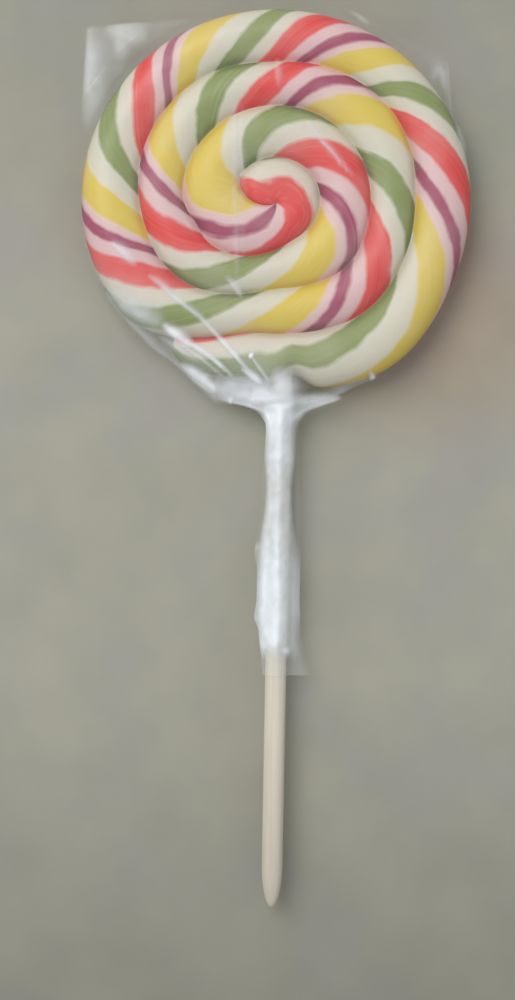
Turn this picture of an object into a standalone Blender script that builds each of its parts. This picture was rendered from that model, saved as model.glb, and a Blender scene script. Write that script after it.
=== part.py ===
"""Swirl lollipop, lying on its back: a coiled sugar rope on a wooden stick, in a clear film wrapper.

Metres, +Z up. The stick points along -Y. The origin is under the middle of the whole piece.
Angles along the rope are in degrees, counted from the tail at the rim inwards to the eye, so that
one turn further in is always 360 degrees more.
"""

import math

import bmesh
import bpy
from mathutils import Matrix, Vector

# Sugar rope
TURN_WIDTHS = (0.0109, 0.0097, 0.0101, 0.0089)  # outermost turn first, the eye last
CREST = 0.0056  # height of the rope's top above its middle
FLAT_SHARE = 0.955  # how much of CREST the underside keeps, where the warm rope lay on the slab
GROOVE_SHARE = 0.56  # height of the groove between two turns, as a share of CREST
EYE_SHARE = 0.9  # height of the eye's middle, as a share of CREST
OVAL = 0.015  # how much wider than long the head is, as a share of the radius
EYE_DROP = 0.0020  # how far the eye sits from the middle, towards the stick
RIM_DROP = 0.00045  # the same for the outermost turn
RIM_BULGES = (  # angle, spread and height: the rope lies loose right of the stick, and is dented beside it
    (304.0, 22.0, 0.0026),
    (275.5, 4.6, -0.0028),
)

# Where the rope starts and ends, and where each turn slips in beside the next one
TAIL_START = 234.0
TAIL_ROUNDING = 42.0
ROPE_END = 1740.0
FIRST_SLIP = 599.0
SLIP_LENGTH = 0.031
EYE_SLIP = 190.0
TURN = 360.0
ROW_STEP = 6.0
ROPE_FACES = 8

# Wooden stick
STICK_RADIUS = 0.00225
STICK_FAR_RADIUS = 0.00215
STICK_VISIBLE = 0.1078
STICK_IN_HEAD = 0.030
STICK_TIP = 0.0090
STICK_TOP = 0.0390  # where it enters the head, below the middle and to the right of it
STICK_SIDE = 0.0010
STICK_LEAN = math.radians(1.05)
STICK_SIDES = 24

# Film wrapper
FILM_THICKNESS = 0.0004
FILM_HUG = 0.0009  # how far the film's seam stands out round the head
SEAM_EXTRA = 0.0001
FILM_CORNERS = (  # the flat bag above the head's middle, with its right corner folded over
    (-0.0406, 0.0),
    (-0.0406, 0.0170),
    (-0.0393, 0.0358),
    (-0.0200, 0.0375),
    (0.0143, 0.0398),
    (0.0357, 0.0292),
    (0.0366, 0.0180),
    (0.0366, 0.0),
)
SKIRT_LEFT = ((-0.0300, -0.0258), (-0.0140, -0.0415))
SKIRT_RIGHT = ((0.0198, -0.0372), (0.0112, -0.0426))
SKIRT_SHOULDER = (0.012, -0.033, 0.0044)
SKIRT_TUCK = 0.0007  # how far the skirt runs down into the sleeve
TUCKED_SHARE = 0.8  # size of the skirt's end there, as a share of the sleeve's mouth
SLEEVE_HALF_HEIGHT = 0.0030
SLEEVE_STATIONS = (  # distance down the stick from the head, and the reach to its left and right
    (0.0034, 0.0062, 0.0056),
    (0.0040, 0.0060, 0.0055),
    (0.0056, 0.0038, 0.0047),
    (0.0079, 0.0030, 0.0040),
    (0.0174, 0.0033, 0.0043),
    (0.0257, 0.0037, 0.0046),
    (0.0350, 0.0051, 0.0047),
    (0.0443, 0.0043, 0.0049),
    (0.0526, 0.0033, 0.0050),
    (0.0595, 0.0029, 0.0048),
)
SLEEVE_SIDES = 24
TORN_END = ((0.0520, 0.0030), (0.0520, 0.0046), (0.0585, 0.0077), (0.0612, 0.0030))  # down, right

GAP = 0.0003
HEAD_RADIUS = sum(TURN_WIDTHS)
MIDDLE_HEIGHT = FLAT_SHARE * CREST
WELD = 1e-6


def smooth_step(x):
    x = min(1.0, max(0.0, x))
    return x * x * (3 - 2 * x)


def turn_slips():
    """(width lost, middle angle, spread in degrees) of each place where the rope slips inwards by a turn."""
    slips = []
    outside = HEAD_RADIUS
    for turn, width in enumerate(TURN_WIDTHS[:-1]):
        middle_radius = outside - width / 2
        spread = math.degrees(SLIP_LENGTH / middle_radius)
        slips.append((width, FIRST_SLIP + TURN * turn, spread))
        outside -= width
    slips.append((TURN_WIDTHS[-1], ROPE_END - EYE_SLIP / 2, EYE_SLIP))
    return slips


SLIPS = turn_slips()


def tail_fullness(angle):
    """0 at the rope's tail, rising to 1 as in a rounded end."""
    x = min(1.0, max(0.0, (angle - TAIL_START) / TAIL_ROUNDING))
    return math.sqrt(1 - (1 - x) ** 2)


def edge_radius(angle):
    """Distance from the middle of the head to the rope's outer edge."""
    oval = 1 + OVAL * math.cos(math.radians(2 * angle))
    bulge = sum(height * math.exp(-(((angle - middle) / spread) ** 2)) for middle, spread, height in RIM_BULGES)
    if angle < TAIL_START + TAIL_ROUNDING:
        return edge_radius(angle + TURN) + (TURN_WIDTHS[0] * oval + bulge) * tail_fullness(angle)
    radius = HEAD_RADIUS
    for width, middle, spread in SLIPS:
        radius -= width * smooth_step((angle - middle) / spread + 0.5)
    return max(0.0, radius * oval + bulge)


def crest_height(angle):
    """Height of the rope's top above its middle: less at the tail and in the eye."""
    eye = smooth_step((angle - ROPE_END + EYE_SLIP) / EYE_SLIP)
    return CREST * tail_fullness(angle) * (1 - (1 - EYE_SHARE) * eye)


def edge_height(angle):
    """Height of the rope's outer edge above its middle: none at the rim, and the groove's further in."""
    if angle <= TAIL_START + TURN:
        return 0.0
    eye = smooth_step((angle - ROPE_END + EYE_SLIP) / EYE_SLIP)
    share = GROOVE_SHARE + (EYE_SHARE - GROOVE_SHARE) * eye
    return CREST * tail_fullness(angle - TURN) * share


def on_head(angle, radius, height):
    """A point of the head, from its polar place. The eye and the outermost turn lie nearer the stick."""
    share = min(1.0, radius / HEAD_RADIUS)
    drift = EYE_DROP * (1 - share) ** 2.5 + RIM_DROP * share**6
    around = math.radians(angle)
    return Vector((radius * math.cos(around), radius * math.sin(around) - drift, height))


def rope_point(angle, across, side):
    """A point on the rope. across runs from -1 at the inner edge to 1 at the outer edge, and side is 1 on top."""
    inner = edge_radius(angle + TURN)
    outer = edge_radius(angle)
    crest = crest_height(angle)
    if crest < WELD:
        return on_head(angle, inner, 0.0)
    edge = edge_height(angle) if across > 0 else edge_height(angle + TURN)
    lean = math.acos(min(1.0, edge / crest))
    sideways = math.sin(lean * across) / math.sin(lean) if lean > 0 else across
    height = crest * math.cos(lean * across)
    if side < 0:
        height = -min(height, MIDDLE_HEIGHT)
    return on_head(angle, (inner + outer) / 2 + (outer - inner) / 2 * sideways, height)


def rim_radius(angle):
    """Radius of the head's outline at an angle round it."""
    return edge_radius(TAIL_START + (angle - TAIL_START) % TURN)


def material(name, colour, roughness, alpha=1.0):
    made = bpy.data.materials.new(name)
    made.use_nodes = True
    shader = made.node_tree.nodes["Principled BSDF"]
    shader.inputs["Base Color"].default_value = (*colour, 1.0)
    shader.inputs["Roughness"].default_value = roughness
    shader.inputs["Metallic"].default_value = 0.0
    shader.inputs["Alpha"].default_value = alpha
    made.diffuse_color = (*colour, alpha)
    return made


def add_object(name, data, collection, finish=None):
    made = bpy.data.objects.new(name, data)
    collection.objects.link(made)
    if finish:
        data.materials.append(finish)
    return made


def mesh_object(name, bm, collection, finish=None):
    bmesh.ops.recalc_face_normals(bm, faces=bm.faces)
    mesh = bpy.data.meshes.new(name)
    bm.to_mesh(mesh)
    bm.free()
    return add_object(name, mesh, collection, finish)


def hide_helper(obj):
    obj.hide_render = True
    obj.display_type = "WIRE"


def boolean(obj, operation, collection):
    modifier = obj.modifiers.new(operation.title(), "BOOLEAN")
    modifier.operation = operation
    modifier.solver = "EXACT"
    modifier.operand_type = "COLLECTION"
    modifier.collection = collection


def smooth(obj, degrees):
    obj.data.shade_smooth()
    obj.data.set_sharp_from_angle(angle=math.radians(degrees))


def bridge_rings(bm, rings):
    """Joins rings of points, each with as many as the last, into one closed skin with flat ends."""
    loops = []
    for points in rings:
        corners = [bm.verts.new(p) for p in points]
        loops.append([bm.edges.new(pair) for pair in zip(corners, corners[1:] + corners[:1])])
    for near, far in zip(loops, loops[1:]):
        bmesh.ops.bridge_loops(bm, edges=near + far)
    for end in (loops[0], loops[-1]):
        bmesh.ops.contextual_create(bm, geom=end)


def build_candy(collection, cutters):
    """The rope, coiled and fused. A flat grid is wound up: its long edges meet in the grooves and are welded."""
    bm = bmesh.new()
    rows = round((ROPE_END - TAIL_START) / ROW_STEP)
    for side in (1, -1):
        grid = bmesh.ops.create_grid(bm, x_segments=rows, y_segments=ROPE_FACES, size=0.5)
        for vertex in grid["verts"]:
            row = round((vertex.co.x + 0.5) * rows)
            across = 2 * vertex.co.y
            vertex.co = rope_point(TAIL_START + ROW_STEP * row, across, side)
    bmesh.ops.remove_doubles(bm, verts=bm.verts, dist=WELD)
    sugar = material("sugar", (0.80, 0.62, 0.50), 0.3)
    candy = mesh_object("candy_coil", bm, collection, sugar)
    boolean(candy, "DIFFERENCE", cutters)
    smooth(candy, 50)
    return candy


def stick_profile():
    """Half the stick's outline, from the end in the head down to the tip, as (radius, distance down)."""
    tip_start = STICK_VISIBLE - STICK_TIP
    points = [(0.0, -STICK_IN_HEAD), (STICK_RADIUS, -STICK_IN_HEAD), (STICK_RADIUS, 0.0)]
    tip_steps = 6
    for step in range(tip_steps):
        turn = math.radians(90 * step / tip_steps)
        points.append((STICK_FAR_RADIUS * math.cos(turn), tip_start + STICK_TIP * math.sin(turn)))
    points.append((0.0, STICK_VISIBLE))
    return points


def stick_line():
    """The frame of the stick: its start at the head's rim, with -Y down the stick and +X to its right."""
    start = Matrix.Translation((STICK_SIDE, -STICK_TOP, 0.0))
    return start @ Matrix.Rotation(-STICK_LEAN, 4, "Z")


def lay_on_stick(obj):
    """Turns a piece that was made along -Z so that it lies along the stick."""
    obj.matrix_world = stick_line() @ Matrix.Rotation(math.radians(-90), 4, "X")


def build_stick(collection):
    """A turned dowel with a long rounded tip."""
    profile = stick_profile()
    mesh = bpy.data.meshes.new("wooden_stick")
    edges = [(i, i + 1) for i in range(len(profile) - 1)]
    mesh.from_pydata([(radius, 0.0, -along) for radius, along in profile], edges, [])
    wood = material("pale_wood", (0.62, 0.53, 0.38), 0.6)
    stick = add_object("wooden_stick", mesh, collection, wood)
    screw = stick.modifiers.new("Turned", "SCREW")
    screw.axis = "Z"
    screw.steps = STICK_SIDES
    screw.render_steps = STICK_SIDES
    screw.use_merge_vertices = True
    screw.merge_threshold = 0.00001
    screw.use_smooth_shade = True
    lay_on_stick(stick)
    return stick


def stick_bore(name, collection, start, end):
    """A round cutter along the stick's line, a little wider than the stick."""
    bm = bmesh.new()
    radius = STICK_RADIUS + GAP
    bmesh.ops.create_cone(
        bm, cap_ends=True, segments=STICK_SIDES, radius1=radius, radius2=radius, depth=end - start
    )
    bmesh.ops.translate(bm, verts=bm.verts, vec=(0.0, 0.0, -(start + end) / 2))
    bore = mesh_object(name, bm, collection)
    lay_on_stick(bore)
    hide_helper(bore)
    return bore


def build_head_clearance(collection):
    """The head's outline with its round rim, a little larger all over: what the film keeps clear of."""
    bm = bmesh.new()
    rings = []
    rim_steps = 10
    for step in range(rim_steps + 1):
        tilt = math.radians(-90 + 180 * step / rim_steps)
        inset = (CREST + GAP) * (1 - math.cos(tilt))
        height = (CREST + GAP) * math.sin(tilt)
        angles = [ROW_STEP * i for i in range(round(TURN / ROW_STEP))]
        rings.append([on_head(a, rim_radius(a) + GAP - inset, height) for a in angles])
    bridge_rings(bm, rings)
    clearance = mesh_object("head_clearance", bm, collection)
    hide_helper(clearance)


def sheet_curve(name, points, thickness, collection):
    """A flat sheet of the given outline, lying in the head's middle plane."""
    curve = bpy.data.curves.new(name, "CURVE")
    curve.dimensions = "2D"
    curve.fill_mode = "BOTH"
    curve.extrude = thickness / 2
    spline = curve.splines.new("POLY")
    spline.points.add(len(points) - 1)
    for point, place in zip(spline.points, points):
        point.co = (place[0], place[1], 0.0, 1.0)
    spline.use_cyclic_u = True
    return add_object(name, curve, collection)


def to_mesh(obj):
    """Replaces a curve by the mesh that it makes, with its caps welded on."""
    graph = bpy.context.evaluated_depsgraph_get()
    mesh = bpy.data.meshes.new_from_object(obj.evaluated_get(graph))
    bm = bmesh.new()
    bm.from_mesh(mesh)
    bmesh.ops.remove_doubles(bm, verts=bm.verts, dist=WELD)
    name = obj.name
    place = obj.matrix_world.copy()
    collection = obj.users_collection[0]
    bpy.data.objects.remove(obj)
    made = mesh_object(name, bm, collection)
    made.matrix_world = place
    return made


def build_skirt(collection):
    """The film between the head and the stick: a tent drawn in from both sides to the sleeve's mouth."""
    bm = bmesh.new()
    mouth_down, mouth_left, mouth_right = SLEEVE_STATIONS[0]
    middle = stick_line() @ Vector((0.0, -mouth_down - SKIRT_TUCK, 0.0))
    for up in (1, -1):
        for place in (*SKIRT_LEFT, *SKIRT_RIGHT):
            bm.verts.new((*place, up * FILM_THICKNESS))
        for sideways in (1, -1):
            bm.verts.new((sideways * SKIRT_SHOULDER[0], SKIRT_SHOULDER[1], up * SKIRT_SHOULDER[2]))
        for reach in (-mouth_left * TUCKED_SHARE, mouth_right * TUCKED_SHARE):
            bm.verts.new(middle + Vector((reach, 0.0, up * FILM_THICKNESS)))
            bm.verts.new(middle + Vector((reach / 2, 0.0, up * SLEEVE_HALF_HEIGHT * TUCKED_SHARE)))
    hull = bmesh.ops.convex_hull(bm, input=bm.verts)
    bmesh.ops.delete(bm, geom=hull["geom_interior"], context="VERTS")
    return mesh_object("film_skirt", bm, collection)


def build_sleeve(collection):
    """The gathered film wound round the upper stick: a flattened tube that reaches out unevenly."""
    bm = bmesh.new()
    rings = []
    for down, left, right in SLEEVE_STATIONS:
        ring = []
        for side in range(SLEEVE_SIDES):
            turn = math.radians(360 * side / SLEEVE_SIDES)
            reach = right if math.cos(turn) > 0 else left
            ring.append(Vector((reach * math.cos(turn), SLEEVE_HALF_HEIGHT * math.sin(turn), -down)))
        rings.append(ring)
    bridge_rings(bm, rings)
    sleeve = mesh_object("film_sleeve", bm, collection)
    lay_on_stick(sleeve)
    return sleeve


def build_film(collection, joined, cutters):
    """The wrapper where it stands clear of the sweet: corners, seam, skirt and sleeve, fused in one."""
    seam_points = []
    for step in range(round(TURN / ROW_STEP)):
        angle = ROW_STEP * step
        seam_points.append(on_head(angle, rim_radius(angle) + FILM_HUG, 0.0))
    torn_points = [stick_line() @ Vector((right, -down, 0.0)) for down, right in TORN_END]
    helpers = [
        to_mesh(sheet_curve("film_corners", FILM_CORNERS, FILM_THICKNESS, joined)),
        to_mesh(sheet_curve("film_seam", seam_points, FILM_THICKNESS + SEAM_EXTRA, joined)),
        to_mesh(sheet_curve("film_torn_end", torn_points, FILM_THICKNESS, joined)),
        build_skirt(joined),
    ]
    for helper in helpers:
        hide_helper(helper)
    build_head_clearance(cutters)
    stick_bore("film_bore", cutters, -STICK_IN_HEAD, STICK_VISIBLE)
    film = build_sleeve(collection)
    film.name = "film_wrapper"
    film.data.materials.append(material("clear_film", (0.85, 0.87, 0.88), 0.2, 0.35))
    boolean(film, "UNION", joined)
    boolean(film, "DIFFERENCE", cutters)
    return film


def rest_on_origin(parts):
    """Moves the whole piece so that its underside is at height 0, over the middle of its box."""
    graph = bpy.context.evaluated_depsgraph_get()
    places = []
    for part in parts:
        shape = part.evaluated_get(graph)
        places += [shape.matrix_world @ Vector(corner) for corner in shape.bound_box]
    low = Vector(min(p[axis] for p in places) for axis in range(3))
    high = Vector(max(p[axis] for p in places) for axis in range(3))
    carrier = bpy.data.objects.new("lollipop_origin", None)
    bpy.context.scene.collection.objects.link(carrier)
    for obj in bpy.data.objects:
        if obj != carrier and obj.parent is None:
            obj.parent = carrier
    carrier.location = (-(low.x + high.x) / 2, -(low.y + high.y) / 2, -low.z)


def main():
    for obj in list(bpy.data.objects):
        bpy.data.objects.remove(obj)
    groups = {}
    for name in ("swirl_lollipop", "candy_cutters", "film_pieces", "film_cutters"):
        groups[name] = bpy.data.collections.new(name)
        bpy.context.scene.collection.children.link(groups[name])
    lollipop = groups["swirl_lollipop"]
    stick_bore("candy_bore", groups["candy_cutters"], -STICK_IN_HEAD - GAP, STICK_VISIBLE)
    candy = build_candy(lollipop, groups["candy_cutters"])
    stick = build_stick(lollipop)
    film = build_film(lollipop, groups["film_pieces"], groups["film_cutters"])
    bpy.context.view_layer.update()
    rest_on_origin([candy, stick, film])


main()
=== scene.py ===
import math

import bmesh
import bpy
from mathutils import Matrix, Vector, noise


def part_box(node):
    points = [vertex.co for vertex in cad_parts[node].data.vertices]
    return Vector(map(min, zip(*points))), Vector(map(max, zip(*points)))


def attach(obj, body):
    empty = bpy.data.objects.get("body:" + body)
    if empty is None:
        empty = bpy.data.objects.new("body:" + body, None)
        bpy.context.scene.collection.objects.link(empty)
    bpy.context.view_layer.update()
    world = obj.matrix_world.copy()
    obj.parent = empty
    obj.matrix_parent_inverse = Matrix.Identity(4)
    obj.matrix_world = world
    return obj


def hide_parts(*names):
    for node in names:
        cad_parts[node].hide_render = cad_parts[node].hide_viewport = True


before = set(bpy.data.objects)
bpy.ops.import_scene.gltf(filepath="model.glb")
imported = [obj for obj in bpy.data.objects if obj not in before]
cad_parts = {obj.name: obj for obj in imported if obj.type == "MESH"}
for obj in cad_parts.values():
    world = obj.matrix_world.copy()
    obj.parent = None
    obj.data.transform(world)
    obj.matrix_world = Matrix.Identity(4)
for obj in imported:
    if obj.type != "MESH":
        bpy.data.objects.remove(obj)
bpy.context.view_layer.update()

# The sweet. Eight bands of coloured boiled sugar are laid side by side into one rope, which is twisted while
# it is warm, wound flat from the rim to the eye and pressed, so that its turns fuse. It is glossy and lets
# a little light in. Angles along the rope are in degrees, and one turn further in is 360 degrees more.
TURN_WIDTHS = (0.0109, 0.0097, 0.0101, 0.0089)  # from the rim inwards
HEAD_RADIUS = sum(TURN_WIDTHS)
CREST = 0.0056  # how high the rope's top lies above its middle
FLAT_SHARE = 0.955  # how much of that is left on its flattened underside
GROOVE_SHARE = 0.56  # how high a groove lies against the crest
EYE_SHARE = 0.9  # and how high the rope's top and its last groove lie in the eye
OVAL = 0.015
EYE_DROP = 0.0020  # how much nearer the stick the eye lies than the middle of a round head
EYE_DROP_POWER = 2.5
RIM_DROP = 0.00045
RIM_DROP_POWER = 6
# A swelling at the lower right and the dent beside the stick, and then the places where a groove wanders in
# or out: each has its angle, its spread in degrees and how far it goes
RIM_BULGES = ((304.0, 22.0, 0.0026), (275.5, 4.6, -0.0028))
GROOVE_BENDS = (
    (666.0, 22.0, 0.0014),
    (718.0, 14.0, -0.0006),
    (757.0, 18.0, 0.0005),
    (812.0, 18.0, -0.0009),
    (922.0, 30.0, -0.0016),
    (1035.0, 28.0, 0.0013),
    (1278.0, 12.0, -0.0010),
)
TAIL_START = 234.0
TAIL_ROUNDING = 42.0
ROPE_END = 1665.0
FIRST_SLIP = 599.0  # where the rope first slips in beside itself, as it does once a turn from there
SLIP_LENGTH = 0.031
EYE_SLIP = 85.0  # the degrees over which the last turn closes
SLANT_START = 0.0080  # how far from the middle the bands start to lean with a slip
SLANT_FADE = 0.0060
TURN = 360.0
ROW_STEP = 1.0
TOP_FACES = 26
UNDERSIDE_FACES = 10
WELD = 1e-6

# How far the rope is twisted, in turns, at angles along its tail. A whole number has the red band on top.
TAIL_TWIST = (
    (238, 0.13),
    (246, 0.15),
    (254, 0.178),
    (261, 0.202),
    (272, 0.23),
    (286, 0.287),
    (300, 0.366),
    (315, 0.43),
    (330, 0.53),
    (345, 0.675),
    (360, 0.84),
)
# Where the middle of the red, green, yellow and magenta band crosses the rope's top, for each turn of twist
BAND_CROSSINGS = (
    (375, 398, 414, 428),
    (442, 457, 480, 491),
    (502, 525, 544, 556),
    (568, 595, 640, 661),
    (688, 725, 766, 791),
    (811, 844, 880, 896),
    (922, 957, 1027, 1067),
    (1116, 1186, 1257, 1312),
)
CROSSING_TWISTS = (0.0, 0.2675, 0.581, 0.7775)
# The twist at angles further in. The first of them lies between two of the last row's crossings.
EYE_TWIST = (
    (1219, 8.465),
    (1320, 8.795),
    (1330, 8.818),
    (1347, 8.86),
    (1372, 8.918),
    (1399, 8.955),
    (1416, 8.985),
    (1436, 9.03),
    (1455, 9.043),
    (1479, 9.057),
    (1504, 9.062),
    (1534, 9.08),
    (1571, 9.075),
    (1585, 9.037),
    (1600, 9.0),
    (1665, 8.98),
)
# How far the bands run round the rope, against a true circle: on its outer side, on its inner side in the
# outermost turn, and on its inner side further in
OUTER_SPREAD = 0.95
RIM_TURN_SPREAD = 1.2
INNER_SPREAD = 0.85
# Where that changes: an angle, and over how many degrees from there. One below 0 ends at the angle instead.
FURTHER_IN = (570, 60)
TAIL_PART = (300, -40)
LAST_SLIP_START = (1205, 45)
LAST_SLIP_END = (1345, -60)
TAIL_LOSS = 0.45  # what the inner side loses in the tail
LAST_SLIP_LOSS = 0.9  # and ahead of the last slip before the eye
EYE_LOSSES = ((1380, 60, 0.16), (1540, 50, 0.39))  # where both sides lose a share, as above, and how much
GROOVE_ROUNDING = 0.2  # the share of the rope's half width over which a groove is rounded out
GROOVE_FILL = 0.45  # how much of the sharp groove that fills

sweet_low, sweet_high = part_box("candy_coil")
HEAD_MIDDLE = Vector(
    (
        (sweet_low.x + sweet_high.x) / 2,
        sweet_high.y - HEAD_RADIUS * (1 - OVAL) + RIM_DROP * (1 - OVAL) ** RIM_DROP_POWER,
        sweet_low.z + FLAT_SHARE * CREST,
    )
)


def smooth_step(x):
    x = min(1.0, max(0.0, x))
    return x * x * (3 - 2 * x)


def turn_slips():
    """(width lost, middle angle, spread in degrees) of each place where the rope slips inwards by a turn."""
    slips = []
    outside = HEAD_RADIUS
    for turn, width in enumerate(TURN_WIDTHS[:-1]):
        spread = math.degrees(SLIP_LENGTH / (outside - width / 2))
        slips.append((width, FIRST_SLIP + TURN * turn, spread))
        outside -= width
    slips.append((TURN_WIDTHS[-1], ROPE_END - EYE_SLIP / 2, EYE_SLIP))
    return slips


SLIPS = turn_slips()


def tail_fullness(angle):
    """0 at the rope's tail, rising to 1 as in a rounded end."""
    x = min(1.0, max(0.0, (angle - TAIL_START) / TAIL_ROUNDING))
    return math.sqrt(1 - (1 - x) ** 2)


def eye_share(angle):
    return smooth_step((angle - ROPE_END + EYE_SLIP) / EYE_SLIP)


def edge_radius(angle):
    """Distance from the middle of the head to the rope's outer edge."""
    oval = 1 + OVAL * math.cos(math.radians(2 * angle))
    bends = RIM_BULGES + GROOVE_BENDS
    bulge = sum(height * math.exp(-(((angle - middle) / spread) ** 2)) for middle, spread, height in bends)
    if angle < TAIL_START + TAIL_ROUNDING:
        return edge_radius(angle + TURN) + (TURN_WIDTHS[0] * oval + bulge) * tail_fullness(angle)
    radius = HEAD_RADIUS
    for width, middle, spread in SLIPS:
        radius -= width * smooth_step((angle - middle) / spread + 0.5)
    return max(0.0, radius * oval + bulge)


def crest_height(angle):
    return CREST * tail_fullness(angle) * (1 - (1 - EYE_SHARE) * eye_share(angle))


def edge_height(angle):
    """Height of the rope's outer edge above its middle: none at the rim, and the groove's further in."""
    if angle <= TAIL_START + TURN:
        return 0.0
    share = GROOVE_SHARE + (EYE_SHARE - GROOVE_SHARE) * eye_share(angle)
    return CREST * tail_fullness(angle - TURN) * share


def on_head(angle, radius, height):
    """A point of the head, from its polar place. The eye and the outermost turn lie nearer the stick."""
    share = min(1.0, radius / HEAD_RADIUS)
    drift = EYE_DROP * (1 - share) ** EYE_DROP_POWER + RIM_DROP * share**RIM_DROP_POWER
    around = math.radians(angle)
    return HEAD_MIDDLE + Vector((radius * math.cos(around), radius * math.sin(around) - drift, height))


def rim_radius(angle):
    return edge_radius(TAIL_START + (angle - TAIL_START) % TURN)


def twist_places():
    crossings = []
    for turn, angles in enumerate(BAND_CROSSINGS):
        crossings += [(angle, turn + 1 + part) for angle, part in zip(angles, CROSSING_TWISTS)]
    return sorted(TAIL_TWIST + tuple(crossings) + EYE_TWIST)


def curve_through(places):
    """A smooth curve through (position, value) points, straight on beyond both ends."""
    slopes = []
    for index in range(len(places)):
        before = places[max(index - 1, 0)]
        after = places[min(index + 1, len(places) - 1)]
        slopes.append((after[1] - before[1]) / (after[0] - before[0]))

    def value_at(position):
        if position <= places[0][0]:
            return places[0][1] + slopes[0] * (position - places[0][0])
        for index, (start, end) in enumerate(zip(places, places[1:])):
            if position <= end[0]:
                span = end[0] - start[0]
                t = (position - start[0]) / span
                near = start[1] * (2 * t**3 - 3 * t**2 + 1) + slopes[index] * span * (t**3 - 2 * t**2 + t)
                far = end[1] * (3 * t**2 - 2 * t**3) + slopes[index + 1] * span * (t**3 - t**2)
                return near + far
        return places[-1][1] + slopes[-1] * (position - places[-1][0])

    return value_at


class RopeRow:
    """One cross-section of the rope: its edges, its height, and how far its bands are twisted."""

    twist_at = staticmethod(curve_through(twist_places()))

    def __init__(self, angle):
        self.angle = angle
        self.inner = edge_radius(angle + TURN)
        self.outer = edge_radius(angle)
        self.middle = (self.inner + self.outer) / 2
        self.half_width = (self.outer - self.inner) / 2
        self.crest = crest_height(angle)
        self.leans = [self.lean(edge_height(angle + TURN)), self.lean(edge_height(angle))]
        self.slant = self.slant_at(angle)

    def lean(self, edge):
        """How far round its middle the rope's surface turns before it meets an edge of that height."""
        return math.acos(min(1.0, edge / self.crest)) if self.crest > WELD else 0.0

    def slant_at(self, angle):
        """How far the rope runs inwards there, as the turn, in radians, that its cross-section is tilted by
        for each metre across. It is nothing but where the rope slips in beside the next turn."""
        edges = (angle, angle + TURN) if angle > TAIL_START + TAIL_ROUNDING else (angle + TURN,)
        slopes = [(edge_radius(edge + 1) - edge_radius(edge - 1)) / math.radians(2) for edge in edges]
        fade = smooth_step((self.middle - SLANT_START) / SLANT_FADE)
        return fade * sum(slopes) / len(slopes) / max(self.middle, WELD) ** 2

    def sideways(self, across):
        lean = self.leans[across > 0]
        return math.sin(lean * across) / math.sin(lean) if lean > 0 else across

    def point(self, across, side):
        """across runs from -1 at the inner edge to 1 at the outer edge, and side is 1 on top."""
        lean = self.leans[across > 0]
        height = self.crest * math.cos(lean * across)
        if across < 0 or self.angle > TAIL_START + TURN:
            into_groove = max(0.0, (abs(across) - 1) / GROOVE_ROUNDING + 1)
            steepness = self.crest * lean * math.sin(lean)
            height += GROOVE_FILL * steepness * GROOVE_ROUNDING / 2 * into_groove**2
        if side < 0:
            height = -min(height, FLAT_SHARE * CREST)
        return on_head(self.angle, self.middle + self.half_width * self.sideways(across), height)

    def passed(self, angle, degrees):
        """0 at that angle and 1 so many degrees on, or 1 before and 0 at the angle for degrees below 0."""
        return smooth_step((self.angle - angle) / degrees)

    def spread(self, across):
        """How far the bands run round the rope on that side of its top, against a true circle."""
        inner = RIM_TURN_SPREAD + (INNER_SPREAD - RIM_TURN_SPREAD) * self.passed(*FURTHER_IN)
        inner -= TAIL_LOSS * self.passed(*TAIL_PART)
        inner -= LAST_SLIP_LOSS * self.passed(*LAST_SLIP_START) * self.passed(*LAST_SLIP_END)
        left = 1 - sum(loss * self.passed(angle, degrees) for angle, degrees, loss in EYE_LOSSES)
        return (OUTER_SPREAD if across > 0 else inner) * left

    def bands(self, across, side):
        """(how far along the rope, how far round it) in turns, for the pattern of bands."""
        round_it = self.leans[across > 0] * across / math.radians(TURN)
        spread = self.spread(across)
        shift = math.degrees(self.half_width * self.sideways(across) * self.slant)
        twist = self.twist_at(self.angle + shift)
        if side > 0:
            return self.angle / TURN, twist + round_it * spread
        return self.angle / TURN, twist + 0.5 - round_it * (2 - spread)


def put_in_scene(name, bm, finish):
    """Makes a piece of the object from a bmesh and sets it on the frame's one body."""
    mesh = bpy.data.meshes.new(name)
    bm.to_mesh(mesh)
    bm.free()
    mesh.shade_smooth()
    mesh.materials.append(finish)
    piece = bpy.data.objects.new(name, mesh)
    bpy.context.scene.collection.objects.link(piece)
    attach(piece, "root")
    return piece


def wind_sheet(bm, rows, side, faces_across):
    """Winds a flat grid along the rope. Its band coordinates are set before its edges are welded."""
    band_map = bm.loops.layers.uv["bands"]
    section_map = bm.loops.layers.uv["section"]
    grid = bmesh.ops.create_grid(bm, x_segments=len(rows) - 1, y_segments=faces_across, size=0.5)
    places = {v: (rows[round((v.co.x + 0.5) * (len(rows) - 1))], 2 * v.co.y) for v in grid["verts"]}
    for face in {face for vertex in places for face in vertex.link_faces}:
        for loop in face.loops:
            row, across = places[loop.vert]
            loop[band_map].uv = row.bands(across, side)
            loop[section_map].uv = (across, row.outer / HEAD_RADIUS)
    for vertex, (row, across) in places.items():
        vertex.co = row.point(across, side)


def colour(red, green, blue):
    """A colour given as a screen shows it, from 0 to 255, as the shader takes it."""
    shown = [value / 255 for value in (red, green, blue)]
    return [v / 12.92 if v <= 0.04045 else ((v + 0.055) / 1.055) ** 2.4 for v in shown]


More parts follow.
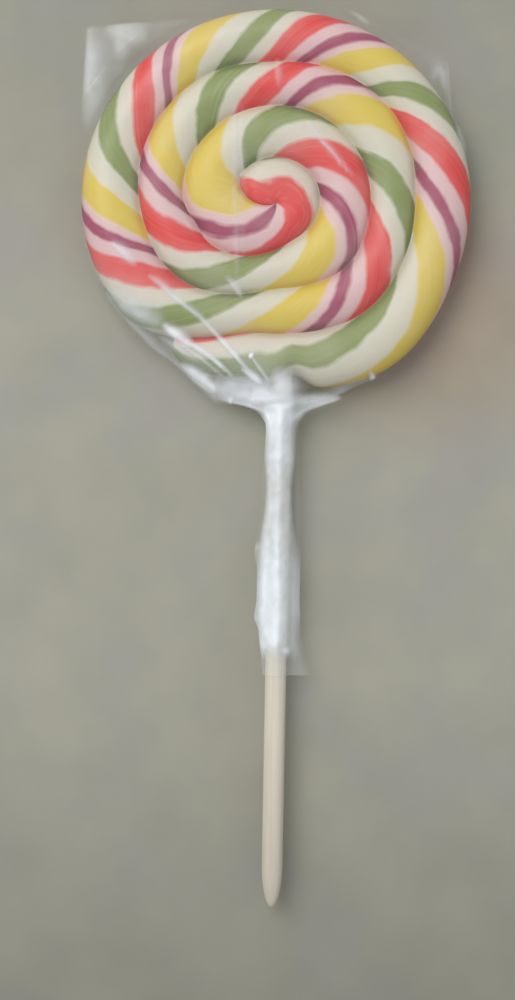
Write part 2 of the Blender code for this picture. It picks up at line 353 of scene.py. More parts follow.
class Finish:
    """A material under construction."""

    def __init__(self, name):
        self.material = bpy.data.materials.new(name)
        self.material.use_nodes = True
        self.tree = self.material.node_tree
        self.tree.nodes.clear()

    def add(self, kind, settings=None, values=None, output=0):
        """Adds a node of that kind, sets it up, fills its sockets and gives the wire of one output."""
        node = self.tree.nodes.new(kind)
        for setting, choice in (settings or {}).items():
            if setting == "stops":
                self.set_stops(node.color_ramp.elements, choice)
            else:
                setattr(node, setting, choice)
        for socket, value in (values or {}).items():
            if isinstance(value, Wire):
                self.tree.links.new(value.socket, node.inputs[socket])
            elif isinstance(value, (list, tuple)) and node.inputs[socket].type == "RGBA":
                node.inputs[socket].default_value = (*value, 1.0)
            else:
                node.inputs[socket].default_value = value
        return Wire(self, node.outputs[output])

    def set_stops(self, elements, stops):
        while len(elements) < len(stops):
            elements.new(0.5)
        for element, (position, shade) in zip(elements, stops):
            element.position = position
            element.color = (*shade, 1.0)

    def show(self, surface):
        end = self.tree.nodes.new("ShaderNodeOutputMaterial")
        self.tree.links.new(surface.socket, end.inputs["Surface"])
        return self.material


class Wire:
    """What comes out of a node. Arithmetic on wires adds the nodes that work it out."""

    def __init__(self, finish, socket):
        self.finish = finish
        self.socket = socket

    def math(self, operation, first, second):
        return self.finish.add("ShaderNodeMath", {"operation": operation}, {0: first, 1: second})

    def __add__(self, other):
        return self.math("ADD", self, other)

    __radd__ = __add__

    def __sub__(self, other):
        return self.math("SUBTRACT", self, other)

    def __rsub__(self, other):
        return self.math("SUBTRACT", other, self)

    def __mul__(self, other):
        return self.math("MULTIPLY", self, other)

    __rmul__ = __mul__

    def size(self):
        """This number without its sign."""
        return self.math("ABSOLUTE", self, 0.0)

    def turn_part(self):
        """What is over this number's last whole turn."""
        return self.math("FRACT", self, 0.0)

    def between(self, low, high):
        """0 up to low, 1 from high on, and smooth between them."""
        sockets = {"Value": self, "From Min": low, "From Max": high}
        return self.finish.add("ShaderNodeMapRange", {"interpolation_type": "SMOOTHSTEP"}, sockets)

    def tint(self, other, share, blend="MIX"):
        """This colour mixed with another."""
        settings = {"data_type": "RGBA", "blend_type": blend}
        return self.finish.add("ShaderNodeMix", settings, {"Factor": share, 6: self, 7: other}, output=2)


BAND_COLOURS = {
    "red": colour(228, 56, 50),
    "cream": colour(221, 216, 198),
    "green": colour(128, 144, 64),
    "yellow": colour(224, 197, 54),
    "pink": colour(230, 198, 196),
    "magenta": colour(160, 34, 84),
}
# How far round the rope each band ends, in turns, from the middle of the red one
BANDS = (
    (0.085, "red"),
    (0.195, "cream"),
    (0.340, "green"),
    (0.490, "cream"),
    (0.672, "yellow"),
    (0.737, "pink"),
    (0.818, "magenta"),
    (0.915, "pink"),
    (1.000, "red"),
)
BAND_EDGE = 0.012
BLEED = 0.08  # how much of its neighbour's colour a band takes at its edge


def band_stops():
    stops = []
    start = 0.0
    for index, (end, name) in enumerate(BANDS):
        before = BAND_COLOURS[BANDS[index - 1][1]]
        after = BAND_COLOURS[BANDS[(index + 1) % len(BANDS)][1]]
        for edge, other in ((start + BAND_EDGE, before), (end - BAND_EDGE, after)):
            mixed = [own * (1 - BLEED) + beside * BLEED for own, beside in zip(BAND_COLOURS[name], other)]
            stops.append((edge if BAND_EDGE < edge < 1 - BAND_EDGE else round(edge), mixed))
        start = end
    return stops


LUMPS = {"Scale": 260.0, "Detail": 2.0}
CLOUDS = {"Scale": 75.0, "Detail": 2.0}
THREADS = {"Scale": 1.6, "Detail": 3.0}
THREADS_ALONG = 5.0  # how fine the drawn-out threads of sugar are along the rope, and round it
THREADS_ROUND = 40.0
LUMP_WOBBLE = 0.035  # how far the bands' edges wander, in turns round the rope
THREAD_WOBBLE = 0.02
GROOVE_SHADE_START = 0.58  # where the rope starts to take painted shade towards a groove, as a share of its half width
GROOVE_SHADE_LEAST = 0.5  # the least that a groove is darkened by painted shade, where 1 is the most
PALE_THREAD = colour(255, 244, 232)
PALE_THREAD_SHARE = 0.08
VEIL = colour(226, 216, 206)  # the dull bloom on boiled sugar
VEIL_SHARE = 0.15
SUGAR_ROUGHNESS = 0.45
SUGAR_ROUGHNESS_CHANGE = 0.2
SUGAR_RELIEF = 0.0004
SUGAR_REFRACTION = 1.45
LIGHT_IN_SUGAR = {
    "Subsurface Weight": 0.15,
    "Subsurface Radius": (1.0, 0.6, 0.4),
    "Subsurface Scale": 0.0012,
}


def sugar_finish():
    finish = Finish("boiled_sugar")
    bands = finish.add("ShaderNodeUVMap", {"uv_map": "bands"})
    section = finish.add("ShaderNodeUVMap", {"uv_map": "section"})
    place = finish.add("ShaderNodeTexCoord", output=3)
    lumps = finish.add("ShaderNodeTexNoise", values={"Vector": place, **LUMPS})
    parts = finish.add("ShaderNodeSeparateXYZ", values={0: bands}).socket.node
    along, round_it = (Wire(finish, parts.outputs[i]) for i in (0, 1))
    across = finish.add("ShaderNodeSeparateXYZ", values={0: section})
    finer = {0: along * THREADS_ALONG, 1: round_it * THREADS_ROUND}
    stretched = finish.add("ShaderNodeCombineXYZ", values=finer)
    threads = finish.add("ShaderNodeTexNoise", values={"Vector": stretched, **THREADS})
    wobble = (lumps - 0.5) * LUMP_WOBBLE + (threads - 0.5) * THREAD_WOBBLE
    paint = finish.add("ShaderNodeValToRGB", {"stops": band_stops()}, {0: (round_it + wobble).turn_part()})
    clouds = finish.add("ShaderNodeTexNoise", values={"Vector": place, **CLOUDS})
    # Painted shade: the rope darkens towards its grooves, where shade falls; multiplying its colour by
    # itself also deepens the colour there
    groove = across.size().between(GROOVE_SHADE_START, 1.0)
    groove_shade_share = GROOVE_SHADE_LEAST + clouds.between(0.35, 0.65) * (1 - GROOVE_SHADE_LEAST)
    paint = paint.tint(paint, groove * groove_shade_share, "MULTIPLY")
    paint = paint.tint(PALE_THREAD, threads.between(0.45, 0.8) * PALE_THREAD_SHARE)
    paint = paint.tint(VEIL, clouds.between(0.45, 0.72) * VEIL_SHARE)
    bumps = {"Strength": 0.25, "Distance": SUGAR_RELIEF, "Height": lumps + threads * 0.4}
    surface = {
        "Base Color": paint,
        "Roughness": SUGAR_ROUGHNESS + (lumps - 0.5) * SUGAR_ROUGHNESS_CHANGE,
        "IOR": SUGAR_REFRACTION,
        "Normal": finish.add("ShaderNodeBump", values=bumps),
        **LIGHT_IN_SUGAR,
    }
    return finish.show(finish.add("ShaderNodeBsdfPrincipled", values=surface))


def make_sweet():
    bm = bmesh.new()
    bm.loops.layers.uv.new("bands")
    bm.loops.layers.uv.new("section")
    steps = round((ROPE_END - TAIL_START) / ROW_STEP)
    rows = [RopeRow(TAIL_START + ROW_STEP * step) for step in range(steps + 1)]
    wind_sheet(bm, rows, 1, TOP_FACES)
    wind_sheet(bm, rows, -1, UNDERSIDE_FACES)
    bmesh.ops.remove_doubles(bm, verts=bm.verts, dist=WELD)
    bmesh.ops.recalc_face_normals(bm, faces=bm.faces)
    return put_in_scene("striped_sweet", bm, sugar_finish())


sweet = make_sweet()
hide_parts("candy_coil")

# The stick. A turned dowel of pale birch, pushed into the warm sugar, with its far end rounded to a blunt
# point. It is bare wood with a fine straight grain.
STICK_RADIUS = 0.00225
STICK_FAR_RADIUS = 0.00215
STICK_VISIBLE = 0.1078
STICK_IN_HEAD = 0.030
STICK_TIP = 0.0090  # how long its rounded point is
STICK_TOP = 0.0390  # where it comes out of the sweet, below and right of the middle
STICK_SIDE = 0.0010
STICK_LEAN = math.radians(1.05)
STICK_SIDES = 64
TIP_STEPS = 16
SHAFT_STEPS = 60

STICK_LINE = Matrix.Translation(HEAD_MIDDLE + Vector((STICK_SIDE, -STICK_TOP, 0.0)))
STICK_LINE = STICK_LINE @ Matrix.Rotation(-STICK_LEAN, 4, "Z")


def stick_profile():
    """Half the stick's outline as (radius, distance down), from its hidden end to the tip."""
    shaft = STICK_VISIBLE - STICK_TIP + STICK_IN_HEAD
    points = [(0.0, -STICK_IN_HEAD)]
    for step in range(SHAFT_STEPS):
        share = step / SHAFT_STEPS
        radius = STICK_RADIUS + (STICK_FAR_RADIUS - STICK_RADIUS) * share
        points.append((radius, shaft * share - STICK_IN_HEAD))
    for step in range(TIP_STEPS):
        turn = math.radians(90 * step / TIP_STEPS)
        points.append((STICK_FAR_RADIUS * math.cos(turn), STICK_VISIBLE - STICK_TIP * (1 - math.sin(turn))))
    return points + [(0.0, STICK_VISIBLE)]


WOOD_STOPS = ((0.35, colour(213, 204, 184)), (0.62, colour(228, 221, 203)))
GRAIN_FINENESS = (900.0, 28.0, 900.0)
GRAIN_SHARE = 0.7
LOW_END = (-0.092, -0.045)  # how far down the stick it is darkened in full by painted shade of the light's fall-off, and where that starts
LOW_END_PAINTED_SHADE = (0.86, 0.85, 0.84)
WOOD_ROUGHNESS = 0.5
WOOD_REFRACTION = 1.45
WOOD_RELIEF = 0.0002


def wood_finish():
    finish = Finish("pale_birch")
    place = finish.add("ShaderNodeTexCoord", output=3)
    along_stick = {"Vector": place, "Rotation": (0.0, 0.0, STICK_LEAN), "Scale": GRAIN_FINENESS}
    grain_place = finish.add("ShaderNodeMapping", values=along_stick)
    grain = finish.add("ShaderNodeTexNoise", values={"Vector": grain_place, "Scale": 1.0, "Detail": 4.0})
    patch = finish.add("ShaderNodeTexNoise", values={"Vector": place, "Scale": 45.0, "Detail": 2.0})
    streaks = grain * GRAIN_SHARE + patch * (1 - GRAIN_SHARE)
    paint = finish.add("ShaderNodeValToRGB", {"stops": WOOD_STOPS}, {0: streaks})
    apart = finish.add("ShaderNodeSeparateXYZ", values={0: place}).socket.node
    # Painted shade: the stick's lower end is darkened as the light falls off towards the near end of the
    # table
    painted_fall_off = 1 - Wire(finish, apart.outputs[1]).between(*LOW_END)
    bumps = {"Strength": 0.3, "Distance": WOOD_RELIEF, "Height": grain}
    surface = {
        "Base Color": paint.tint(LOW_END_PAINTED_SHADE, painted_fall_off, "MULTIPLY"),
        "Roughness": WOOD_ROUGHNESS + grain * 0.2,
        "IOR": WOOD_REFRACTION,
        "Normal": finish.add("ShaderNodeBump", values=bumps),
    }
    return finish.show(finish.add("ShaderNodeBsdfPrincipled", values=surface))


def make_stick():
    bm = bmesh.new()
    corners = [bm.verts.new((radius, -down, 0.0)) for radius, down in stick_profile()]
    edges = [bm.edges.new(pair) for pair in zip(corners, corners[1:])]
    full_turn = {"axis": (0.0, 1.0, 0.0), "cent": (0.0, 0.0, 0.0), "angle": math.radians(TURN)}
    bmesh.ops.spin(bm, geom=corners + edges, steps=STICK_SIDES, use_merge=True, **full_turn)
    bmesh.ops.remove_doubles(bm, verts=bm.verts, dist=WELD)
    bmesh.ops.recalc_face_normals(bm, faces=bm.faces)
    bm.transform(STICK_LINE)
    return put_in_scene("wooden_dowel", bm, wood_finish())


stick = make_stick()
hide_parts("wooden_stick")

# The bag. A flat bag of thin clear film, sealed round its edge, is pulled down over the sweet and gathered
# on the stick. It lies on the tops of the rope, stands off flat at its two upper corners, and is drawn into
# folds below, where it turns milky.
FILM_HUG = 0.0009  # the least that its sealed edge stands out from the rim
FILM_CLEAR = 0.00012  # between the film and the sweet's top
SIDE_CLEAR = 3 * FILM_CLEAR  # and its rounded rim
FILM_EDGE_HEIGHT = 0.0001
BAG_OUTLINE = (  # seen from the middle of the sweet, and no nearer than the film that hugs the rim
    (-0.0406, 0.0170),
    (-0.0393, 0.0358),
    (-0.0200, 0.0375),
    (0.0143, 0.0398),
    (0.0357, 0.0292),
    (0.0366, 0.0180),
    (0.0198, -0.0372),
    (0.0112, -0.0418),
    (0.0066, -0.0426),
    (-0.0052, -0.0428),
    (-0.0130, -0.0422),
    (-0.0300, -0.0258),
)
LANDING = 0.0040  # how far beyond the rim the film comes down at the corners
SKIRT_BLEND = 4  # how quickly that gives way to the skirt, which comes down at its edge, below the middle
NECK = Vector((0.0011, -0.0440))  # where the bag's edge runs over the stick
NECK_WIDTH = 0.0062
NECK_HEIGHT = 0.0028
FRONT_ANGLES = 720
BACK_ANGLES = 360
FLAT_RINGS = 56
ROUND_RINGS = 30
STAND_OFF_RINGS = 22
RING_CROWDING = 0.62  # how much the rings crowd towards the rim, and the rows towards the angle below
ANGLE_CROWDING = 0.45
CROWDED_ANGLE = 232.0
# Folds that catch the light: their points, half width, how white they are (creased film's milkiness and
# painted glints) and how far they rise
FOLDS = (
    (((-0.0084, 0.0200), (-0.0084, 0.0000), (-0.0080, -0.0220)), 0.0005, 0.16, 0.00008),
    (((-0.0070, 0.0190), (-0.0071, 0.0000), (-0.0068, -0.0150)), 0.0004, 0.14, 0.00008),
    (((0.0058, 0.0149), (0.0110, 0.0085), (0.0157, 0.0031)), 0.0004, 0.42, 0.00010),
    (((0.0002, 0.0275), (0.0004, 0.0215)), 0.0005, 0.20, 0.00008),
    (((-0.0337, -0.0099), (-0.0318, -0.0118), (-0.0285, -0.0150)), 0.0007, 0.60, 0.00015),
    (((-0.0262, -0.0168), (-0.0238, -0.0186), (-0.0205, -0.0212)), 0.0005, 0.45, 0.00012),
    (((-0.0257, -0.0175), (-0.0207, -0.0215), (-0.0157, -0.0253), (-0.0113, -0.030)), 0.0004, 0.55, 0.00010),
    (((-0.0157, -0.0253), (-0.0113, -0.0300), (-0.0050, -0.0372), (-0.0010, -0.040)), 0.0004, 0.70, 0.00012),
    (((-0.035, -0.0196), (-0.0308, -0.0230), (-0.0262, -0.0254), (-0.0228, -0.0272)), 0.0015, 0.42, 0.00015),
    (((-0.0318, -0.0245), (-0.0244, -0.032), (-0.0194, -0.0359), (-0.0140, -0.0406)), 0.0005, 0.35, 0.00015),
    (((-0.0236, -0.0268), (-0.0205, -0.0290), (-0.0165, -0.0318)), 0.0007, 0.95, 0.00030),
    (((-0.0200, -0.0293), (-0.0135, -0.0335), (-0.0076, -0.0385)), 0.0004, 0.90, 0.00025),
    (((-0.0213, -0.0297), (-0.0157, -0.0336), (-0.0090, -0.0388)), 0.0003, 0.50, 0.00015),
    (((-0.0240, -0.0292), (-0.0200, -0.0318), (-0.0150, -0.0352)), 0.0006, 0.30, 0.00015),
    (((-0.0202, -0.0346), (-0.0160, -0.0375), (-0.0113, -0.0408)), 0.0008, 1.00, 0.00040),
    (((-0.0187, -0.0368), (-0.0150, -0.0392), (-0.0120, -0.0412)), 0.0005, 0.60, 0.00020),
    (((-0.0074, -0.0356), (-0.0050, -0.0374), (-0.0024, -0.0394)), 0.0006, 1.00, 0.00030),
    (((-0.0058, -0.0325), (-0.0034, -0.0359), (-0.0008, -0.0394)), 0.0003, 0.55, 0.00015),
    (((-0.0056, -0.0330), (-0.0052, -0.0333), (-0.0048, -0.0336)), 0.0005, 0.90, 0.00015),
    (((-0.0105, -0.0170), (-0.0085, -0.0190), (-0.0070, -0.0215)), 0.0005, 0.40, 0.00008),
    (((-0.0200, -0.0325), (-0.0110, -0.0352), (0.0010, -0.0380)), 0.0034, 0.15, 0.00008),
    (((-0.0150, -0.0392), (-0.0080, -0.0404), (-0.0010, -0.0418), (0.0030, -0.0426)), 0.0018, 0.80, 0.00010),
    (((0.0002, -0.0352), (0.0008, -0.0396), (0.0012, -0.0440)), 0.0020, 0.52, 0.00010),
    (((0.0040, -0.0428), (0.0090, -0.0422), (0.0140, -0.0406)), 0.0008, 0.40, 0.00010),
    (((-0.0100, -0.0420), (-0.0094, -0.0422), (-0.0088, -0.0424)), 0.0006, 1.00, 0.00010),
    (((0.0215, -0.0370), (0.0130, -0.0404), (0.0050, -0.0432)), 0.0011, 0.34, 0.00015),
    (((0.0192, -0.0379), (0.0199, -0.0376), (0.0206, -0.0373)), 0.0007, 1.00, 0.00015),
    (((-0.0384, 0.0362), (-0.0382, 0.0260), (-0.0386, 0.0140)), 0.0016, 0.26, 0.00020),
    (((-0.0352, 0.0352), (-0.0300, 0.0330), (-0.0262, 0.0330)), 0.0022, 0.26, 0.00020),
    (((-0.0330, 0.0350), (-0.0322, 0.0310), (-0.0325, 0.0275)), 0.0012, 0.22, 0.00020),
    (((0.0150, 0.0390), (0.0172, 0.0372), (0.0190, 0.0350)), 0.0007, 0.24, 0.00015),
    (((0.0318, 0.0234), (0.0340, 0.0262), (0.0354, 0.0200)), 0.0007, 0.24, 0.00020),
    (((0.0354, 0.0283), (0.0358, 0.0230), (0.0362, 0.0160)), 0.0006, 0.24, 0.00015),
    (((0.0372, 0.0150), (0.0380, 0.0115), (0.0386, 0.0080)), 0.0008, 0.36, 0.00010),
)
SOFT_SIDE = 1.8  # how much further a fold fades on one side than on the other
FOLD_REACH = 4  # how many half widths away it still shows
FOLD_TAPER = 0.6
FOLD_END_SHARE = 0.35  # how wide it is at its ends, against its middle
FLICKER = 0.25  # how much its whiteness, partly painted glint, changes along it
FLICKER_MIDDLE = 0.95
FLICKER_SCALE = 500
# How white the film is and the distances that it takes to turn so: in its skirt, left and right of the neck
# and above it, at its upper corners, beyond a line at the lower left, where it is partly painted glare, over
# the sweet and along its edge
SKIRT_WHITE = 0.52
SKIRT_LEFT = 0.0105
SKIRT_RIGHT = 0.0030
SKIRT_UP = 0.0052
LEFT_CORNER_WHITE = 0.06
RIGHT_CORNER_WHITE = 0.02
CORNER_UP = 0.0200
CORNER_OUT = 0.0025
LOW_LEFT_WHITE_AND_GLARE = 0.12
LOW_LEFT_LINE = 0.0460
LOW_LEFT_OUT = 0.0080
SWEET_WHITE = 0.045
SWEET_OUT = 0.0008
SKIRT_HEM = 0.0016
CORNER_HEM = 0.0012
FOLD_HEM = 0.0006
MOTTLE = 0.9
MOTTLE_SCALE = 260
BACK_SHARE = 0.7  # how much of that the film's underside has
LOOSE_OUT = 0.0020  # how far beyond the rim the film starts to wave
WAVE_HEIGHT = 0.0003
WAVE_SCALE = 160
LEAST_HEIGHT = 0.00004  # keeps the film's two sides apart


def outline_radius(angle):
    """How far the bag reaches from the middle of the sweet, in one direction."""
    ray = Vector((math.cos(math.radians(angle)), math.sin(math.radians(angle))))
    reach = math.inf
    for start, end in zip(BAG_OUTLINE, BAG_OUTLINE[1:] + BAG_OUTLINE[:1]):
        along = Vector(end) - Vector(start)
        outwards = Vector((-along.y, along.x))
        facing = outwards.dot(ray)
        if facing > 0:
            reach = min(reach, outwards.dot(Vector(start)) / facing)
    return max(reach, film_rim(angle) + FILM_HUG)


def film_rim(angle):
    """The rim as the film sees it, which spans the rope's tail and the dent beside the stick."""
    return max(rim_radius(angle), HEAD_RADIUS * (1 + OVAL * math.cos(math.radians(2 * angle))))


def section_of_bag(angle, depth):
    """The film from the middle outwards, as (radius, height), drawn tight over the rope's round edge."""
    rim = film_rim(angle)
    bend = TURN_WIDTHS[0] / 2
    start = rim - bend
    reach = outline_radius(angle)
    lift = neck_lift(angle, reach)
    skirt = smooth_step(-math.sin(math.radians(angle)) * SKIRT_BLEND)
    landing = min(reach, rim + FILM_HUG + LANDING * (1 - skirt) + (reach - rim) * skirt)
    across = bend + SIDE_CLEAR
    up = depth + FILM_CLEAR
    aim = Vector(((landing - start) / across, lift / up))
    leave = math.atan2(aim.x, aim.y) - math.acos(min(1.0, 1 / aim.length))
    points = [(start * (ring / FLAT_RINGS) ** RING_CROWDING, up) for ring in range(FLAT_RINGS)]
    for ring in range(ROUND_RINGS):
        turn = 2 * leave * ring / ROUND_RINGS
        if turn < leave:
            points.append((start + across * math.sin(turn), up * math.cos(turn)))
        else:
            share = turn / leave - 1
            near = Vector((start + across * math.sin(leave), up * math.cos(leave)))
            points.append(tuple(near.lerp(Vector((landing, lift)), share)))
    for ring in range(STAND_OFF_RINGS + 1):
        points.append((landing + (reach - landing) * ring / STAND_OFF_RINGS, lift))
    return points


def neck_lift(angle, reach):
    """How high the film's edge is, where it runs up over the stick."""
    sideways = reach * math.cos(math.radians(angle)) - NECK.x
    if math.sin(math.radians(angle)) > 0 or abs(sideways) > NECK_WIDTH:
        return FILM_EDGE_HEIGHT
    return FILM_EDGE_HEIGHT + NECK_HEIGHT * math.sqrt(1 - (sideways / NECK_WIDTH) ** 2)


def nearest_on(points, place):
    """(distance, share of the way along, which side) of the nearest spot on a line through points."""
    lengths = [(Vector(end) - Vector(start)).length for start, end in zip(points, points[1:])]
    found = (math.inf, 0.0, 0.0)
    passed = 0.0
    for start, end, length in zip(points, points[1:], lengths):
        along = Vector(end) - Vector(start)
        share = min(1.0, max(0.0, (place - Vector(start)).dot(along) / length**2))
        offset = place - Vector(start) - along * share
        if offset.length < found[0]:
            side = along.x * offset.y - along.y * offset.x
            found = (offset.length, (passed + share * length) / sum(lengths), side)
        passed += length
    return found


def fold_at(place):
    """(whiteness, partly painted glint, and rise) that the folds give the film at a place seen from above.
    """
    crease_white_and_glint = 0.0
    rise = 0.0
    flicker = FLICKER_MIDDLE + FLICKER * noise.noise(Vector((place.x, place.y, 0.0)) * FLICKER_SCALE)
    for points, width, strength, height in FOLDS:
        reach = FOLD_REACH * width
        if not min(p[0] for p in points) - reach < place.x < max(p[0] for p in points) + reach:
            continue
        if not min(p[1] for p in points) - reach < place.y < max(p[1] for p in points) + reach:
            continue
        distance, share, side = nearest_on(points, place)
        taper = math.sin(math.pi * share) ** FOLD_TAPER if 0 < share < 1 else 0.0
        half_width = width * (FOLD_END_SHARE + (1 - FOLD_END_SHARE) * taper)
        fade = half_width * (SOFT_SIDE if side > 0 else 1.0)
        shape = taper * math.exp(-((distance / fade) ** 2))
        crease_white_and_glint = max(crease_white_and_glint, strength * shape * flicker)
        rise = max(rise, height * shape)
    return crease_white_and_glint, rise


RIPPLE = {"Scale": 170.0, "Detail": 3.0}
FINE_RIPPLE = {"Scale": 900.0, "Detail": 2.0}
FILM_RELIEF = 0.0006
FILM_REFRACTION = 1.5


def film_finish(name, own_colour, roughness, gloss):
    """Thin film that covers what is under it by its haze alone, which each of its vertices carries."""
    finish = Finish(name)
    place = finish.add("ShaderNodeTexCoord", output=3)
    haze = finish.add("ShaderNodeAttribute", {"attribute_name": "haze"}, output=2)
    ripple = finish.add("ShaderNodeTexNoise", values={"Vector": place, **RIPPLE})
    fine = finish.add("ShaderNodeTexNoise", values={"Vector": place, **FINE_RIPPLE})
    bumps = {"Strength": 0.35, "Distance": FILM_RELIEF, "Height": ripple + fine * 0.15}
    surface = {
        "Base Color": own_colour,
        "Roughness": roughness + haze * 0.25,
        "IOR": FILM_REFRACTION,
        "Specular IOR Level": gloss,
        "Alpha": haze * (0.75 + ripple * 0.5),
        "Normal": finish.add("ShaderNodeBump", values=bumps),
    }
    return finish.show(finish.add("ShaderNodeBsdfPrincipled", values=surface))


FILM = film_finish("clear_film", colour(248, 251, 254), 0.16, 1.0)


def bag_haze(place, beyond, to_edge):
    """How milky the film is at a place, so far beyond the rim and so far from the film's edge."""
    aside = (place.x - NECK.x) / (SKIRT_LEFT if place.x < NECK.x else SKIRT_RIGHT)
    up = (place.y - NECK.y) / SKIRT_UP
    skirt = SKIRT_WHITE * math.exp(-(aside**2) - up**2) * smooth_step(to_edge / SKIRT_HEM)
    mottle = 1 + MOTTLE * noise.noise(Vector((place.x, place.y, 0.0)) * MOTTLE_SCALE)
    upper = smooth_step(place.y / CORNER_UP) * smooth_step(beyond / CORNER_OUT)
    corner = (LEFT_CORNER_WHITE if place.x < 0 else RIGHT_CORNER_WHITE) * upper * mottle
    # Beyond a line at the lower left the film whitens, partly its own milkiness and partly a painted glare
    low_left_haze_and_glare = LOW_LEFT_WHITE_AND_GLARE * smooth_step((-place.y - place.x - LOW_LEFT_LINE) / LOW_LEFT_OUT)
    over_sweet = SWEET_WHITE * (1 - smooth_step(beyond / SWEET_OUT))
    return (over_sweet + corner + low_left_haze_and_glare) * smooth_step(to_edge / CORNER_HEM) + skirt


def crowded_angle(share):
    """The direction of a radial row of the film. The rows crowd together where most folds are."""
    swing = math.degrees(ANGLE_CROWDING) * math.sin(math.radians(TURN * share - CROWDED_ANGLE))
    return TURN * share - swing


def make_bag_side(name, side, angles, depth):
    bm = bmesh.new()
    haze_layer = bm.verts.layers.float.new("haze")
    directions = [crowded_angle(step / angles) for step in range(angles)]
    sections = [section_of_bag(angle, depth) for angle in directions]
    rings = len(sections[0]) - 1
    grid = bmesh.ops.create_grid(bm, x_segments=angles, y_segments=rings, size=0.5)
    for vertex in grid["verts"]:
        step = round((vertex.co.x + 0.5) * angles) % angles
        ring = round((vertex.co.y + 0.5) * rings)
        angle = directions[step]
        radius, height = sections[step][ring]
        spot = on_head(angle, radius, 0.0) - HEAD_MIDDLE
        place = spot.xy
        beyond = radius - film_rim(angle)
        crease_white_and_glint, rise = fold_at(place) if side > 0 else (0.0, 0.0)
        loose = smooth_step(beyond / LOOSE_OUT)
        wave = noise.noise(Vector((place.x, place.y, side)) * WAVE_SCALE) * WAVE_HEIGHT * loose
        to_edge = sections[step][-1][0] - radius
        haze = bag_haze(place, beyond, to_edge) * (1 if side > 0 else BACK_SHARE)
        # The folds' whiteness, partly painted glints, is added to the film's haze
        vertex[haze_layer] = min(1.0, haze + crease_white_and_glint * smooth_step(to_edge / FOLD_HEM))
        above_middle = side * max(LEAST_HEIGHT, height + rise + wave)
        vertex.co = HEAD_MIDDLE + Vector((spot.x, spot.y, above_middle))
    bmesh.ops.remove_doubles(bm, verts=bm.verts, dist=WELD)
    bmesh.ops.recalc_face_normals(bm, faces=bm.faces)
    piece = put_in_scene(name, bm, FILM)
    return piece


bag_front = make_bag_side("film_front", 1, FRONT_ANGLES, CREST)
bag_back = make_bag_side("film_back", -1, BACK_ANGLES, FLAT_SHARE * CREST)
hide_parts("film_wrapper")

# The sleeve. The open end of the bag is gathered round the stick and shrunk on to it. The gathered layers
# look white, thin wings of film stand off at both sides, and the end is torn off unevenly.
SLEEVE_STATIONS = (  # distance down the stick from the head, and the reach to its left and right
    (0.0008, 0.0128, 0.0128),
    (0.0024, 0.0130, 0.0132),
    (0.0034, 0.0122, 0.0110),
    (0.0043, 0.0084, 0.0084),
    (0.0054, 0.0051, 0.0060),
    (0.0070, 0.0035, 0.0046),
    (0.0083, 0.0029, 0.0040),
    (0.0130, 0.0031, 0.0041),
    (0.0174, 0.0034, 0.0042),
    (0.0210, 0.0036, 0.0043),
    (0.0245, 0.0034, 0.0044),
    (0.0300, 0.0041, 0.0046),
    (0.0345, 0.0048, 0.0046),
    (0.0375, 0.0043, 0.0047),
    (0.0440, 0.0042, 0.0047),
    (0.0480, 0.0046, 0.0048),
    (0.0505, 0.0038, 0.0050),
    (0.0530, 0.0034, 0.0052),
    (0.0565, 0.0030, 0.0064),
    (0.0598, 0.0027, 0.0074),
)
SLEEVE_HALF_HEIGHT = 0.0029
SLEEVE_EDGE = 0.00012  # half the gap between its upper and lower film, out in the wings
SLEEVE_BELL = 0.0022  # how far from the stick's middle the film has come down to about a third of its height
BELL_WIDENING = 0.0035  # how much further that is at the top, and where the widening starts
BELL_START = 0.0060
BELL_LENGTH = 0.0036
CRINKLE_SCALE = (420, 330)  # across the stick and along it
CRINKLE_SIDEWAYS = 0.04
CRINKLE_UP = 0.12
# How far its white core reaches to the left and right, and how that changes from a place down the stick
CORE_LEFT = 0.0026
CORE_LEFT_CHANGE = 0.0008
CORE_RIGHT = 0.0023
CORE_RIGHT_CHANGE = -0.0004
CORE_CHANGE_START = 0.0195
CORE_CHANGE_LENGTH = 0.0248
CORE_LEFT_EDGE = 0.0020  # how soft its two edges are
CORE_RIGHT_EDGE = 0.0021
CORE_WHITE = 0.58
CORE_END = 0.0570  # where it is clear again, and how far above that it starts to fade
CORE_END_FADE = 0.0045
TORN_WHITE = 0.10  # how white the stick's part of the film stays beyond that
BLOTCH = {"share": 0.35, "scale": (330, 170), "layer": 7.0}
FINE_BLOTCH = {"share": 0.25, "scale": (900, 600), "layer": 3.0}
WING_WHITE = 0.20
WING_TORN_SHARE = 0.45  # how much of that is left near the torn end
WING_EDGE = 0.0022
FLARE_LEFT_WHITE = 0.50  # where the sleeve widens into the bag
FLARE_RIGHT_WHITE = 0.25
FLARE_END = 0.0090
FLARE_FADE = 0.0030
LEAST_WHITE = 0.02
TOP_CLEAR = 0.0010  # how far from the head the sleeve starts to show, and how far it takes to
TOP_FADE = 0.0024
SLEEVE_SPOTS = (  # where its layers look whiter or clearer: sideways, down, radius and how much
    (-0.0012, 0.0080, 0.0030, 0.45),
    (-0.0002, 0.0150, 0.0030, 0.16),
    (-0.0004, 0.0225, 0.0070, -0.30),
    (-0.0010, 0.0430, 0.0080, 0.25),
    (-0.0014, 0.0250, 0.0012, 0.22),
    (0.0010, 0.0345, 0.0020, -0.10),
    (-0.0020, 0.0470, 0.0013, 0.30),
    (-0.0009, 0.0500, 0.0010, 0.50),
    (0.0019, 0.0547, 0.0008, 0.60),
    (-0.0046, 0.0334, 0.0009, 0.14),
    (-0.0044, 0.0482, 0.0009, 0.14),
)
SLEEVE_SIDES = 112
SLEEVE_STEP = 0.0003


def blotches(sideways, down, share, scale, layer):
    return share * noise.noise(Vector((sideways * scale[0], down * scale[1], layer)))


